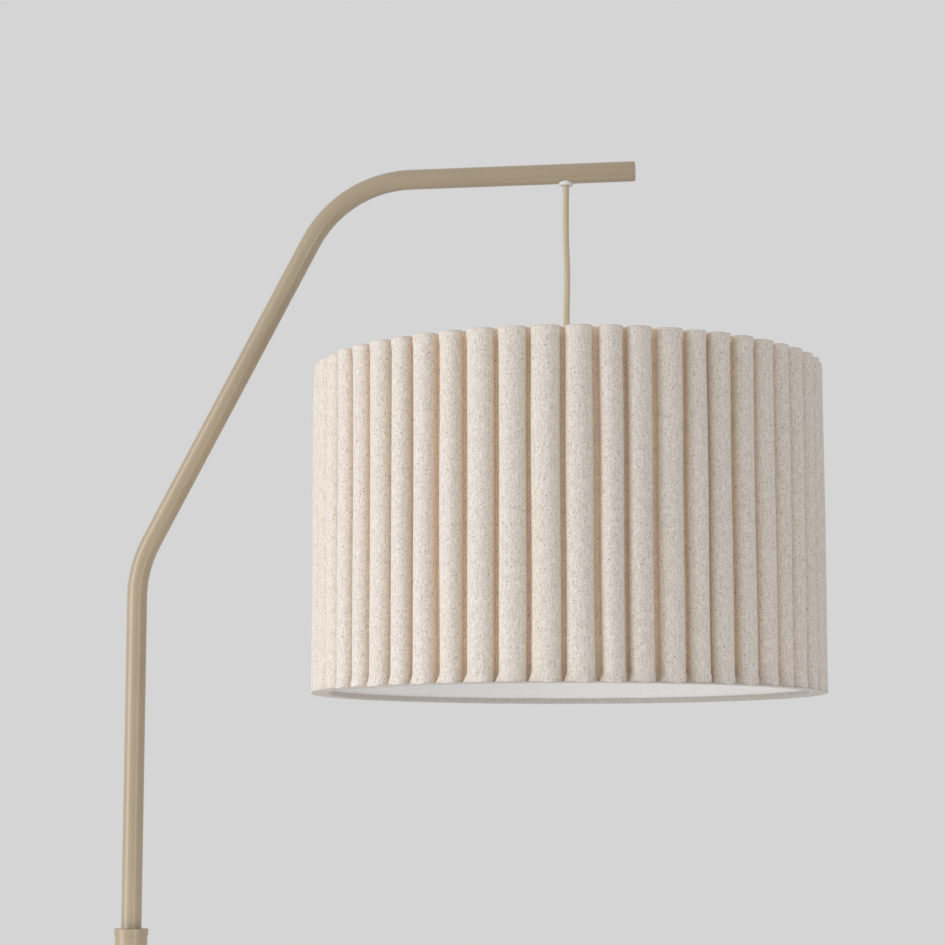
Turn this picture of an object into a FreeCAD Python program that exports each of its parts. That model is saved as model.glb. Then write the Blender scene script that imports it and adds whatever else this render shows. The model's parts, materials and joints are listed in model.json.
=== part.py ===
import FreeCAD, Part
import math
import os

# Arched floor lamp with a hanging fluted fabric shade. All lengths are in millimetres.
# The origin is the centre of the foot's underside, on the pole's axis. +X points from the
# pole towards the shade and +Z is up, so the arm's bends all lie in the XZ plane.
# A round weighted foot carries a pole, an arm tube turns in the pole's head, and the shade
# hangs from the arm on its own textile cord.

Vector = FreeCAD.Vector
UP = Vector(0, 0, 1)

# ---- Driving dimensions: fits and clearances ----
push_fit = 0.05  # radial gap of parts that are pushed together and stay
running_fit = 0.08  # radial gap of the arm tube in its guide bush
turning_gap = 0.3  # gap between parts that move past each other
resting_gap = 0.1  # gap under a part that rests on a bearing face and turns
bore_gap = 0.3  # radial gap round a cord in a bore
trim_gap = 0.1  # gap between the layers of the shade

# ---- Driving dimensions: foot ----
foot_radius = 150.0
foot_height = 28.0
foot_edge_radius = 6.0
foot_wall = 1.5
foot_lift = 1.5  # height of the cover's lower rim over the floor
pad_thickness = 2.0
pad_inset = 3.5
plate_thickness = 1.5
plate_inset = 2.0
weight_inset = 1.0
weight_web = 4.5
weight_pocket_radius = 17.0
channel_gap = 0.5  # round the gland's stem in the weight's cord channel
plate_screw_count = 4
plate_screw_circle = 110.0
plate_screw_radius = 2.0
plate_screw_head_radius = 3.5
plate_screw_length = 12.0

# ---- Driving dimensions: hollow stud that ties the pole to the foot ----
stud_radius = 5.0
stud_cord_gap = 0.6
stud_grip = 20.0  # thread length in the pole's lower insert
stud_tail = 1.0
washer_radius = 13.0
washer_thickness = 1.2
nut_across_flats = 17.0
nut_height = 4.0
insert_height = 26.0

# ---- Driving dimensions: pole ----
pole_radius = 16.0
pole_wall = 1.5
pole_head_height = 820.0  # top of the head collar over the floor
head_collar_lip = 0.75
head_collar_height = 6.5
head_collar_spigot = 8.0
foot_collar_width = 4.0
foot_collar_height = 8.0
collar_edge_radius = 0.8

# ---- Driving dimensions: swivel in the pole's head ----
guide_length = 100.0
guide_floor = 4.0
stop_chamber_height = 10.0
stop_chamber_radius = 13.2
stop_lug_half_angle = 6.0
stop_pin_radius = 1.5
stop_pin_height = 5.0  # over the chamber's floor
thrust_washer_thickness = 1.5
arm_plug_height = 15.0
guide_screw_radius = 2.0
guide_screw_depth = 4.0
guide_screw_heights = (35.0, 75.0)  # over the guide bush's underside
socket_depth = 1.5
socket_across_flats = 2.0

# ---- Driving dimensions: arm ----
arm_radius = 10.0
arm_wall = 1.5
arm_bend_radius = 115.0
arm_lower_bend_height = 356.0  # first bend's corner over the pole's head
arm_top_height = 744.0  # level tube's axis over the pole's head
arm_incline = 28.1  # degrees from the vertical
arm_reach = 503.0  # from the pole's axis to the arm's outer end
cap_length = 4.0
cap_edge_radius = 1.7
cap_spigot = 12.0

# ---- Driving dimensions: cord and its outlet ----
cord_radius = 3.1
outlet_inset = 69.0  # from the arm's outer end back to the hanging cord
swing_limit = 12.0  # degrees that the hanging cord can lean each way
stopper_radius = 5.0
stopper_gap = 0.25
pivot_over_mouth = 4.1
outlet_drop = 2.2  # outlet bush's mouth under the arm tube
outlet_wall = 0.85
outlet_flange_lip = 1.0
outlet_flange_rise = 0.9
outlet_edge_radius = 0.9
outlet_flare = 1.1  # widening of the bush's mouth, and its height
outlet_stem_rise = 3.7
seat_margin = 2.0  # degrees of seat left beside the leaning cord
cord_turn_radius = 9.0
cord_level_run = 36.0  # along the top of the arm's bore, after the turn into it
cord_slope_run = 63.0  # down to the middle of the bore
foot_cord_lift = 2.0  # under the cord, over the foot's plate
foot_cord_entry = 1.8  # start of the turn, over the stud's lower end
bend_share = 0.45  # of a run that the arc beside it may take

# ---- Driving dimensions: mains inlet gland ----
gland_stem_radius = 5.0
gland_flange_radius = 7.0
gland_flange_thickness = 3.0
gland_inside_length = 7.0
gland_cord_clearance = 3.0

# ---- Driving dimensions: shade ----
shade_radius = 250.0  # to the crests of the flutes
shade_height = 317.0
shade_drop = 200.0  # from the arm's level axis to the shade's top
flute_count = 56
flute_radius = 10.9
flute_depth = 14.6  # crest to valley floor
flute_phase = 1.6  # degrees that the shade is turned from the arm's plane
fabric_thickness = 1.4
lining_thickness = 0.8
trim_thickness = 1.0
hem_thickness = 1.2
hem_inset = 0.8
trim_leg_height = 5.2
ring_wire_radius = 1.4
spider_wire_radius = 1.6
spider_bend_radius = 6.4
spider_arm_count = 3
spider_step_outer = 215.0
spider_step_inner = 195.0
fitter_drop = 14.0  # shade's top to the fitter ring's underside
fitter_thickness = 1.5
fitter_width = 8.0

# ---- Driving dimensions: lampholder, measured from the fitter ring's underside ----
skirt_radius = 20.0
skirt_wall = 1.6
skirt_depth = 42.0
shoulder_width = 3.5
shoulder_thickness = 3.4
ring_nut_width = 5.5
ring_nut_height = 8.0
holder_cap_lip = 1.5
holder_cap_wall = 1.8
holder_cap_straight = 16.0
holder_cap_height = 33.0
core_depth = 12.0
screw_shell_wall = 0.6
screw_shell_length = 26.0
terminal_offset = 9.0
terminal_screw_radius = 2.4
terminal_screw_height = 2.0
core_wire_radius = 1.1
core_wire_bend_radius = 3.3
core_wire_offset = 1.5
sheath_end_height = 14.0  # over the terminals
contact_width = 6.0
contact_thickness = 0.6
contact_length = 18.0
contact_bow = 3.2
grip_radius = 7.0
grip_stem_radius = 5.0
grip_height = 12.0
grip_top_radius = 5.0
grip_screw_radius = 1.5
grip_screw_length = 5.3

# ---- Driving dimensions: bulb ----
bulb_radius = 30.0
bulb_length = 108.0
bulb_glass_wall = 1.2
bulb_cap_radius = 13.2
bulb_cap_length = 24.0
bulb_cap_wall = 0.5
bulb_insulator_radius = 9.0
bulb_insulator_height = 2.3
bulb_tip_radius = 4.5
bulb_tip_height = 2.0
bulb_neck_height = 34.0
bulb_neck_wall = 1.6
bulb_board_thickness = 1.2

# ---- Worked-out heights and radii ----
foot_cover_radius = foot_radius - foot_wall
foot_cover_under = foot_height - foot_wall
plate_top = pad_thickness + plate_thickness
web_under = foot_cover_under - weight_web
nut_under = web_under - washer_thickness - nut_height
stud_under = nut_under - stud_tail
stud_bore = cord_radius + stud_cord_gap
foot_cord_height = plate_top + foot_cord_lift + cord_radius
foot_cord_turn_radius = stud_under + foot_cord_entry - foot_cord_height
head_collar_radius = pole_radius + head_collar_lip
foot_collar_radius = pole_radius + foot_collar_width
pole_bore = pole_radius - pole_wall
pole_top = pole_head_height - head_collar_height
guide_top = pole_top - head_collar_spigot
guide_bottom = guide_top - guide_length
chamber_floor = guide_bottom + guide_floor
washer_top = chamber_floor + thrust_washer_thickness
arm_foot = washer_top + resting_gap
arm_bore = arm_radius - arm_wall
cord_bore = cord_radius + bore_gap
arm_level = pole_head_height + arm_top_height
arm_knee = pole_head_height + arm_lower_bend_height
arm_elbow = (arm_level - arm_knee) * math.tan(math.radians(arm_incline))
arm_tube_end = arm_reach - cap_length
cord_reach = arm_reach - outlet_inset
outlet_stem_radius = stopper_radius + stopper_gap + outlet_wall
outlet_flange_radius = outlet_stem_radius + outlet_flange_lip
outlet_mouth = arm_level - arm_radius - outlet_drop
pivot_height = outlet_mouth + pivot_over_mouth
shade_top = arm_level - shade_drop
shade_bottom = shade_top - shade_height
valley_radius = shade_radius - flute_depth
lining_radius = valley_radius - fabric_thickness - trim_gap
leg_radius = lining_radius - lining_thickness - trim_gap
trim_bore = leg_radius - trim_thickness
ring_radius = leg_radius + trim_gap + ring_wire_radius
ring_edge = ring_radius + ring_wire_radius + trim_gap
bottom_ring_height = shade_bottom + hem_thickness + trim_gap + ring_wire_radius
top_ring_height = shade_top - trim_thickness - trim_gap - ring_wire_radius
lining_bottom = bottom_ring_height + ring_wire_radius + trim_gap
lining_top = top_ring_height - ring_wire_radius - trim_gap
fitter_height = shade_top - fitter_drop
fitter_bore = skirt_radius + turning_gap
shoulder_radius = skirt_radius + shoulder_width
ring_nut_radius = skirt_radius + ring_nut_width
holder_cap_radius = skirt_radius + holder_cap_lip
screw_shell_radius = bulb_cap_radius + turning_gap
shoulder_under = fitter_height + fitter_thickness + turning_gap
shoulder_top = shoulder_under + shoulder_thickness
core_under = fitter_height - core_depth
holder_cap_top = shoulder_top + holder_cap_height
sheath_end = shoulder_top + terminal_screw_height + sheath_end_height
contact_under = core_under - contact_bow
bulb_tip = contact_under
bulb_cap_top = bulb_tip - bulb_tip_height - bulb_insulator_height
bulb_cap_bottom = bulb_cap_top - bulb_cap_length
bulb_bottom = bulb_tip - bulb_length
bulb_centre = bulb_bottom + bulb_radius
bulb_neck_bottom = bulb_cap_bottom - bulb_neck_height


# ---- Small helpers ----
def disc(radius, bottom, top, axis_x=0.0):
    """Upright cylinder between two heights."""
    return Part.makeCylinder(radius, top - bottom, Vector(axis_x, 0, bottom), UP)


def ring(outer, bore, bottom, top, axis_x=0.0):
    """Upright ring with a plain bore."""
    return disc(outer, bottom, top, axis_x).cut(disc(bore, bottom, top, axis_x))


def rod(radius, start, end):
    """Cylinder from one point to another."""
    run = end - start
    return Part.makeCylinder(radius, run.Length, start, run)


def turned(points, axis_x=0.0):
    """Solid turned about an upright axis; each point is (radius, height), and a third
    entry is the middle point of the arc that leads to it."""
    edges = []
    last = points[-1]
    for point in points:
        start = Vector(axis_x + last[0], 0, last[1])
        end = Vector(axis_x + point[0], 0, point[1])
        if len(point) == 3:
            middle = Vector(axis_x + point[2][0], 0, point[2][1])
            edges.append(Part.Arc(start, middle, end).toShape())
        else:
            edges.append(Part.LineSegment(start, end).toShape())
        last = point
    face = Part.Face(Part.Wire(edges))
    return face.revolve(Vector(axis_x, 0, 0), UP, 360)


def arc_middle(centre, radius, degrees):
    """Point of a profile's arc, as (radius, height)."""
    turn = math.radians(degrees)
    return (centre[0] + radius * math.cos(turn), centre[1] + radius * math.sin(turn))


def hexagon(across_flats, bottom, top):
    """Upright hexagonal prism on the pole's axis."""
    corner = across_flats / math.sqrt(3)
    corners = [Vector(corner, 0, 0)]
    for step in range(1, 7):
        turn = math.radians(60 * step)
        corners.append(Vector(corner * math.cos(turn), corner * math.sin(turn), 0))
    prism = Part.Face(Part.makePolygon(corners)).extrude(Vector(0, 0, top - bottom))
    prism.translate(Vector(0, 0, bottom))
    return prism


def rounded_rim(shape, radius, height):
    """Shape with its round edges at one height filleted."""
    rims = []
    for edge in shape.Edges:
        box = edge.BoundBox
        level = abs(box.ZMin - height) < 1e-4 and abs(box.ZMax - height) < 1e-4
        if level and edge.Length > 2 * math.pi * radius:
            rims.append(edge)
    return shape.makeFillet(radius, rims)


def widest_radius(before, corner, after):
    """Largest arc that two runs leave room for."""
    back = before - corner
    ahead = after - corner
    half_turn = (math.pi - back.getAngle(ahead)) / 2
    return bend_share * min(back.Length, ahead.Length) / math.tan(half_turn)


def route(points, radii):
    """Wire of straight runs joined by tangent arcs at each inner point."""
    edges = []
    last = points[0]
    for before, corner, after, radius in zip(points, points[1:], points[2:], radii):
        back = (before - corner).normalize()
        ahead = (after - corner).normalize()
        half_turn = (math.pi - back.getAngle(ahead)) / 2
        tangent = radius * math.tan(half_turn)
        start = corner + back * tangent
        end = corner + ahead * tangent
        inward = (back + ahead).normalize()
        middle = corner + inward * (radius / math.cos(half_turn) - radius)
        if (start - last).Length > 1e-3:
            edges.append(Part.LineSegment(last, start).toShape())
        edges.append(Part.Arc(start, middle, end).toShape())
        last = end
    edges.append(Part.LineSegment(last, points[-1]).toShape())
    return Part.Wire(edges)


def swept(path, radius):
    """Round bar along a wire that starts with a straight run."""
    first = path.Edges[0]
    start = first.valueAt(first.FirstParameter)
    direction = first.tangentAt(first.FirstParameter)
    section = Part.Wire(Part.makeCircle(radius, start, direction))
    return path.makePipeShell([section], True, False)


def report_bar(name, shape, path, radius):
    """Prints a swept bar's volume beside its section times its length."""
    expected = math.pi * radius * radius * path.Length
    print(name, "length", round(path.Length, 1), "volume", round(shape.Volume, 1),
          "section x length", round(expected, 1))


def flute_outline(crest, half_width, floor, height):
    """Closed outline of the flutes: half-round crests, straight flanks, narrow valleys."""
    edges = []
    base = math.sqrt(floor * floor - half_width * half_width)
    pitch = 2 * math.pi / flute_count
    corners = []
    for index in range(flute_count):
        turn = index * pitch + math.radians(flute_phase)
        out = Vector(math.cos(turn), math.sin(turn), 0)
        side = Vector(-math.sin(turn), math.cos(turn), 0) * half_width
        centre = out * (crest - half_width)
        corners.append((out * base - side, centre - side, out * crest, centre + side, out * base + side))
    for index, (foot_in, crest_in, top, crest_out, foot_out) in enumerate(corners):
        next_foot = corners[(index + 1) % flute_count][0]
        edges.append(Part.LineSegment(foot_in, crest_in).toShape())
        edges.append(Part.Arc(crest_in, top, crest_out).toShape())
        edges.append(Part.LineSegment(crest_out, foot_out).toShape())
        edges.append(Part.LineSegment(foot_out, next_foot).toShape())
    outline = Part.Wire(edges)
    outline.translate(Vector(cord_reach, 0, height))
    return outline


# ---- Foot ----
def base_pad():
    return disc(foot_radius - foot_wall - pad_inset, 0, pad_thickness)


def plate_screw_places():
    step = 360.0 / plate_screw_count
    places = []
    for index in range(plate_screw_count):
        turn = math.radians((index + 0.5) * step)
        places.append((plate_screw_circle * math.cos(turn), plate_screw_circle * math.sin(turn)))
    return places


def base_plate_screws():
    screws = []
    for x, y in plate_screw_places():
        head = Part.makeCone(plate_screw_head_radius, plate_screw_radius, plate_thickness,
                             Vector(x, y, pad_thickness), UP)
        shank = Part.makeCylinder(plate_screw_radius, plate_screw_length, Vector(x, y, plate_top), UP)
        screws.append(head.fuse(shank).removeSplitter())
    return Part.makeCompound(screws)


def base_plate():
    plate = disc(foot_radius - foot_wall - plate_inset, pad_thickness, plate_top)
    return plate.cut(base_plate_screws())


def base_weight():
    weight = disc(foot_radius - foot_wall - weight_inset, plate_top, foot_cover_under)
    weight = rounded_rim(weight, foot_edge_radius, foot_cover_under)
    weight = weight.cut(disc(weight_pocket_radius, plate_top, web_under))
    weight = weight.cut(disc(stud_radius + push_fit, web_under, foot_cover_under))
    channel_half = gland_stem_radius + channel_gap
    channel_height = foot_cord_height + channel_half - plate_top
    channel = Part.makeBox(foot_radius, 2 * channel_half, channel_height,
                           Vector(-foot_radius, -channel_half, plate_top))
    return weight.cut(channel).cut(base_plate_screws())


def base_cover():
    shell = rounded_rim(disc(foot_radius, foot_lift, foot_height), foot_edge_radius, foot_height)
    inner_round = max(foot_edge_radius - foot_wall, foot_wall / 2)
    hollow = rounded_rim(disc(foot_cover_radius, 0, foot_cover_under), inner_round, foot_cover_under)
    stud_hole = disc(stud_radius + push_fit, foot_cover_under, foot_height)
    gland_hole = rod(gland_stem_radius, Vector(-foot_radius - 1, 0, foot_cord_height),
                     Vector(-foot_cover_radius + 1, 0, foot_cord_height))
    return shell.cut(hollow).cut(stud_hole).cut(gland_hole)


def mains_gland():
    outer_end = -foot_radius - gland_flange_thickness
    inner_end = -foot_cover_radius + gland_inside_length
    flange = rod(gland_flange_radius, Vector(outer_end, 0, foot_cord_height),
                 Vector(-foot_cover_radius, 0, foot_cord_height))
    flange = flange.cut(disc(foot_radius, 0, foot_height))
    stem = rod(gland_stem_radius, Vector(outer_end + gland_flange_thickness / 2, 0, foot_cord_height),
               Vector(inner_end, 0, foot_cord_height))
    bore = rod(cord_bore, Vector(outer_end - 1, 0, foot_cord_height),
               Vector(inner_end + 1, 0, foot_cord_height))
    return flange.fuse(stem).cut(bore).removeSplitter()


# ---- Stud and pole ----
def pole_stud():
    return ring(stud_radius, stud_bore, stud_under, foot_height + stud_grip)


def pole_stud_washer():
    return ring(washer_radius, stud_radius + push_fit, web_under - washer_thickness, web_under)


def pole_stud_nut():
    nut = hexagon(nut_across_flats, nut_under, nut_under + nut_height)
    return nut.cut(disc(stud_radius, nut_under, nut_under + nut_height))


def pole_bottom_insert():
    insert_top = foot_height + insert_height
    plug = disc(pole_bore, foot_height, insert_top)
    plug = plug.cut(disc(stud_radius, foot_height, foot_height + stud_grip))
    return plug.cut(disc(stud_bore, foot_height, insert_top))


def foot_collar():
    collar = ring(foot_collar_radius, pole_radius + push_fit, foot_height, foot_height + foot_collar_height)
    return rounded_rim(collar, collar_edge_radius, foot_height + foot_collar_height)


def guide_screws():
    screws = []
    for height in guide_screw_heights:
        level = guide_bottom + height
        body = rod(guide_screw_radius, Vector(-pole_radius, 0, level),
                   Vector(-pole_radius + guide_screw_depth, 0, level))
        socket = hexagon(socket_across_flats, 0, socket_depth)
        socket.rotate(Vector(0, 0, 0), Vector(0, 1, 0), 90)
        socket.translate(Vector(-pole_radius, 0, level))
        screws.append(body.cut(socket))
    return Part.makeCompound(screws)


def guide_screw_holes():
    holes = []
    for height in guide_screw_heights:
        level = guide_bottom + height
        holes.append(rod(guide_screw_radius, Vector(-pole_radius - 1, 0, level),
                         Vector(-pole_radius + guide_screw_depth, 0, level)))
    return Part.makeCompound(holes)


def lower_pole():
    return ring(pole_radius, pole_bore, foot_height, pole_top).cut(guide_screw_holes())


def head_collar():
    bore = arm_radius + turning_gap
    collar = ring(head_collar_radius, bore, pole_top, pole_head_height)
    collar = rounded_rim(collar, collar_edge_radius, pole_head_height)
    spigot = ring(pole_bore - push_fit, bore, guide_top, pole_top)
    return collar.fuse(spigot).removeSplitter()


def stop_lug():
    lug = ring(stop_chamber_radius + push_fit, arm_radius + turning_gap, chamber_floor,
               chamber_floor + stop_chamber_height)
    reach = 2 * stop_chamber_radius
    spread = reach * math.tan(math.radians(stop_lug_half_angle))
    corners = [Vector(0, 0, chamber_floor), Vector(-reach, spread, chamber_floor),
               Vector(-reach, -spread, chamber_floor), Vector(0, 0, chamber_floor)]
    sector = Part.Face(Part.makePolygon(corners)).extrude(Vector(0, 0, stop_chamber_height))
    return lug.common(sector)


def guide_bush():
    body = disc(pole_bore - push_fit, guide_bottom, guide_top)
    body = body.cut(disc(arm_radius + running_fit, chamber_floor, guide_top))
    chamber = disc(stop_chamber_radius, chamber_floor, chamber_floor + stop_chamber_height)
    body = body.cut(chamber.cut(stop_lug()))
    body = body.cut(disc(cord_bore, guide_bottom, chamber_floor))
    return body.cut(guide_screw_holes()).removeSplitter()


def thrust_washer():
    return ring(arm_radius, cord_bore, chamber_floor, washer_top)


def pole_cord_route():
    gland_inner_end = -foot_cover_radius + gland_inside_length
    tail = Vector(gland_inner_end + gland_cord_clearance, 0, foot_cord_height)
    corner = Vector(0, 0, foot_cord_height)
    head = Vector(0, 0, arm_foot - turning_gap)
    return route([head, corner, tail], [foot_cord_turn_radius])


def pole_cord():
    path = pole_cord_route()
    cord = swept(path, cord_radius)
    report_bar("pole_cord", cord, path, cord_radius)
    return cord


# ---- Arm ----
def arm_route(end_x):
    points = [Vector(0, 0, arm_foot), Vector(0, 0, arm_knee),
              Vector(arm_elbow, 0, arm_level), Vector(end_x, 0, arm_level)]
    return route(points, [arm_bend_radius, arm_bend_radius])


def stop_pin():
    level = chamber_floor + stop_pin_height
    return rod(stop_pin_radius, Vector(cord_bore + stop_pin_radius, 0, level),
               Vector(stop_chamber_radius - turning_gap, 0, level))


def arm_tube():
    path = arm_route(arm_tube_end)
    tube = swept(path, arm_radius).cut(swept(path, arm_bore))
    outlet_hole = disc(outlet_stem_radius, arm_level - arm_radius - 1, arm_level, cord_reach)
    report_bar("arm_tube outside", swept(path, arm_radius), path, arm_radius)
    return tube.cut(outlet_hole).cut(stop_pin())


def arm_foot_plug():
    plug = ring(arm_bore, cord_bore, arm_foot, arm_foot + arm_plug_height)
    return plug.cut(stop_pin())


def arm_end_cap():
    cap = disc(arm_radius, 0, cap_length)
    cap = rounded_rim(cap, cap_edge_radius, cap_length)
    spigot = disc(arm_bore - push_fit, -cap_spigot, 0)
    cap = cap.fuse(spigot).removeSplitter()
    cap.rotate(Vector(0, 0, 0), Vector(0, 1, 0), 90)
    cap.translate(Vector(arm_tube_end, 0, arm_level))
    return cap


def full_swing():
    """Widest lean of the cord, with both ways of swinging at their limits."""
    return math.acos(math.cos(math.radians(swing_limit)) ** 2)


def cord_outlet_bush():
    socket_radius = stopper_radius + stopper_gap
    lean = full_swing()
    seat_turn = math.asin(cord_radius / stopper_radius) + lean + math.radians(seat_margin)
    seat_radius = socket_radius * math.sin(seat_turn)
    seat_height = pivot_height - socket_radius * math.cos(seat_turn)
    throat = outlet_mouth + outlet_flare
    throat_radius = cord_radius / math.cos(lean) + (pivot_height - throat) * math.tan(lean) + turning_gap / 2
    flange = disc(outlet_flange_radius, outlet_mouth, arm_level - arm_radius + outlet_flange_rise, cord_reach)
    flange = rounded_rim(flange, outlet_edge_radius, outlet_mouth)
    saddle = rod(arm_radius, Vector(cord_reach - 2 * arm_radius, 0, arm_level),
                 Vector(cord_reach + 2 * arm_radius, 0, arm_level))
    stem_top = pivot_height + outlet_stem_rise
    stem = disc(outlet_stem_radius, outlet_mouth + outlet_edge_radius, stem_top, cord_reach)
    middle = arc_middle((0, pivot_height), socket_radius, (math.degrees(seat_turn) - 90) / 2)
    bore = turned([(0, outlet_mouth), (throat_radius + outlet_flare, outlet_mouth), (throat_radius, throat),
                   (seat_radius, seat_height), (socket_radius, pivot_height, middle),
                   (socket_radius, stem_top), (0, stem_top)], cord_reach)
    return flange.cut(saddle).fuse(stem).cut(bore).removeSplitter()


def cord_stopper():
    return Part.makeSphere(stopper_radius, Vector(cord_reach, 0, pivot_height))


def stopper_room():
    return Part.makeSphere(stopper_radius + turning_gap, Vector(cord_reach, 0, pivot_height))


def arm_cord():
    level = arm_level + arm_bore - cord_radius - bore_gap
    slope_start = cord_reach - cord_level_run
    slope_end = slope_start - cord_slope_run
    points = [Vector(cord_reach, 0, pivot_height + cord_radius), Vector(cord_reach, 0, level),
              Vector(slope_start, 0, level), Vector(slope_end, 0, arm_level),
              Vector(arm_elbow, 0, arm_level), Vector(0, 0, arm_knee), Vector(0, 0, arm_foot)]
    easy = [widest_radius(*points[first:first + 3]) for first in (1, 2)]
    print("arm_cord easy bends", [round(radius) for radius in easy])
    path = route(points, [cord_turn_radius, *easy, arm_bend_radius, arm_bend_radius])
    cord = swept(path, cord_radius)
    report_bar("arm_cord", cord, path, cord_radius)
    return cord.cut(stopper_room())


# ---- Pendant: cord, lampholder and bulb ----
def pendant_cord():
    cord = disc(cord_radius, sheath_end, pivot_height - cord_radius, cord_reach)
    return cord.cut(stopper_room())


def cord_grip():
    head_top = holder_cap_top + grip_height
    neck = holder_cap_top + grip_height / 2
    stem_under = holder_cap_top - 2 * holder_cap_wall
    outline = [(cord_radius + push_fit, stem_under), (grip_stem_radius, stem_under),
               (grip_stem_radius, holder_cap_top), (grip_radius, holder_cap_top),
               (grip_radius, neck), (grip_top_radius, head_top), (cord_radius + push_fit, head_top)]
    return turned(outline, cord_reach).cut(cord_grip_screw())


def cord_grip_screw():
    level = holder_cap_top + grip_height / 4
    start = cord_reach - cord_radius - 2 * push_fit
    return rod(grip_screw_radius, Vector(start, 0, level), Vector(start - grip_screw_length, 0, level))


def lampholder_cap():
    straight_top = shoulder_top + holder_cap_straight
    inner = holder_cap_radius - holder_cap_wall
    neck = grip_stem_radius + push_fit
    rise = holder_cap_top - straight_top
    lip = neck + holder_cap_wall
    outer_middle = (lip + (holder_cap_radius - lip) * math.sqrt(0.5), straight_top + rise * math.sqrt(0.5))
    inner_rise = rise - holder_cap_wall
    inner_middle = (lip + (inner - lip) * math.sqrt(0.5), straight_top + inner_rise * math.sqrt(0.5))
    outline = [(inner, shoulder_top), (holder_cap_radius, shoulder_top), (holder_cap_radius, straight_top),
               (lip, holder_cap_top, outer_middle), (neck, holder_cap_top),
               (neck, holder_cap_top - holder_cap_wall), (lip, holder_cap_top - holder_cap_wall),
               (inner, straight_top, inner_middle)]
    return turned(outline, cord_reach)


def lampholder_skirt():
    bottom = fitter_height - skirt_depth
    bore = skirt_radius - skirt_wall
    outline = [(bore, bottom), (skirt_radius, bottom), (skirt_radius, shoulder_under),
               (shoulder_radius, shoulder_under), (shoulder_radius, shoulder_top), (bore, shoulder_top)]
    return turned(outline, cord_reach)


def lampholder_core():
    core = disc(skirt_radius - skirt_wall - push_fit, core_under, shoulder_top, cord_reach)
    shell_seat = ring(screw_shell_radius + screw_shell_wall, screw_shell_radius,
                      core_under, core_under + 2 * screw_shell_wall, cord_reach)
    return core.cut(shell_seat)


def lampholder_screw_shell():
    top = core_under + 2 * screw_shell_wall
    return ring(screw_shell_radius + screw_shell_wall, screw_shell_radius,
                top - screw_shell_length, top, cord_reach)


def centre_contact():
    half = contact_length / 2
    bow = contact_bow - contact_thickness
    tip = half / 3
    corners = [(-half, 0), (-half, -contact_thickness), (-tip, -contact_bow), (tip, -contact_bow),
               (tip, -bow), (-tip, -bow), (-half + 2 * contact_thickness, 0), (-half, 0)]
    outline = [Vector(cord_reach + x, -contact_width / 2, core_under + z) for x, z in corners]
    return Part.Face(Part.makePolygon(outline)).extrude(Vector(0, contact_width, 0))


def terminal_screws():
    screws = []
    for side in (-1, 1):
        screws.append(disc(terminal_screw_radius, shoulder_top, shoulder_top + terminal_screw_height,
                           cord_reach + side * terminal_offset))
    return Part.makeCompound(screws)


def core_wire(side):
    start = cord_reach + side * core_wire_offset
    end = cord_reach + side * terminal_offset
    top = sheath_end
    bottom = shoulder_top + terminal_screw_height
    upper = top - sheath_end_height / 3
    lower = bottom + sheath_end_height / 3
    path = route([Vector(start, 0, top), Vector(start, 0, upper), Vector(end, 0, lower),
                  Vector(end, 0, bottom)], [core_wire_bend_radius, core_wire_bend_radius])
    return swept(path, core_wire_radius)


def shade_ring_nut():
    top = fitter_height - resting_gap
    nut = ring(ring_nut_radius, skirt_radius + push_fit, top - ring_nut_height, top, cord_reach)
    return rounded_rim(nut, collar_edge_radius, top - ring_nut_height)


def bulb_tip_contact():
    return disc(bulb_tip_radius, bulb_tip - bulb_tip_height, bulb_tip, cord_reach)


def bulb_insulator():
    return disc(bulb_insulator_radius, bulb_cap_top, bulb_tip - bulb_tip_height, cord_reach)


def bulb_screw_cap():
    inner = bulb_cap_radius - bulb_cap_wall
    outline = [(0, bulb_cap_top), (bulb_insulator_radius, bulb_cap_top),
               (bulb_cap_radius, bulb_cap_top - bulb_insulator_height), (bulb_cap_radius, bulb_cap_bottom),
               (inner, bulb_cap_bottom), (inner, bulb_cap_top - bulb_insulator_height - bulb_cap_wall),
               (bulb_insulator_radius - bulb_cap_wall, bulb_cap_top - bulb_cap_wall),
               (0, bulb_cap_top - bulb_cap_wall)]
    return turned(outline, cord_reach)


def globe_radius_at(height, radius):
    """Radius of the bulb's sphere at a height."""
    return math.sqrt(radius * radius - (height - bulb_centre) ** 2)


def bulb_neck():
    wide = globe_radius_at(bulb_neck_bottom, bulb_radius)
    outline = [(bulb_cap_radius - bulb_neck_wall, bulb_cap_bottom), (bulb_cap_radius, bulb_cap_bottom),
               (wide, bulb_neck_bottom), (wide - bulb_neck_wall, bulb_neck_bottom)]
    return turned(outline, cord_reach)


def bulb_globe():
    inner = bulb_radius - bulb_glass_wall
    wide = globe_radius_at(bulb_neck_bottom, bulb_radius)
    narrow = globe_radius_at(bulb_neck_bottom, inner)
    outline = [(wide, bulb_neck_bottom),
               (0, bulb_bottom, arc_middle((0, bulb_centre), bulb_radius, -20)),
               (0, bulb_bottom + bulb_glass_wall),
               (narrow, bulb_neck_bottom, arc_middle((0, bulb_centre), inner, -20))]
    return turned(outline, cord_reach)


def bulb_board():
    wide = globe_radius_at(bulb_neck_bottom, bulb_radius)
    taper = (wide - bulb_cap_radius) / bulb_neck_height
    radius = wide - bulb_neck_wall - taper * bulb_board_thickness - push_fit
    return disc(radius, bulb_neck_bottom, bulb_neck_bottom + bulb_board_thickness, cord_reach)


# ---- Shade ----
def wire_ring(height):
    return Part.makeTorus(ring_radius, ring_wire_radius, Vector(cord_reach, 0, height), UP)


def shade_fitter_ring():
    return ring(fitter_bore + fitter_width, fitter_bore, fitter_height,
                fitter_height + fitter_thickness, cord_reach)


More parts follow.
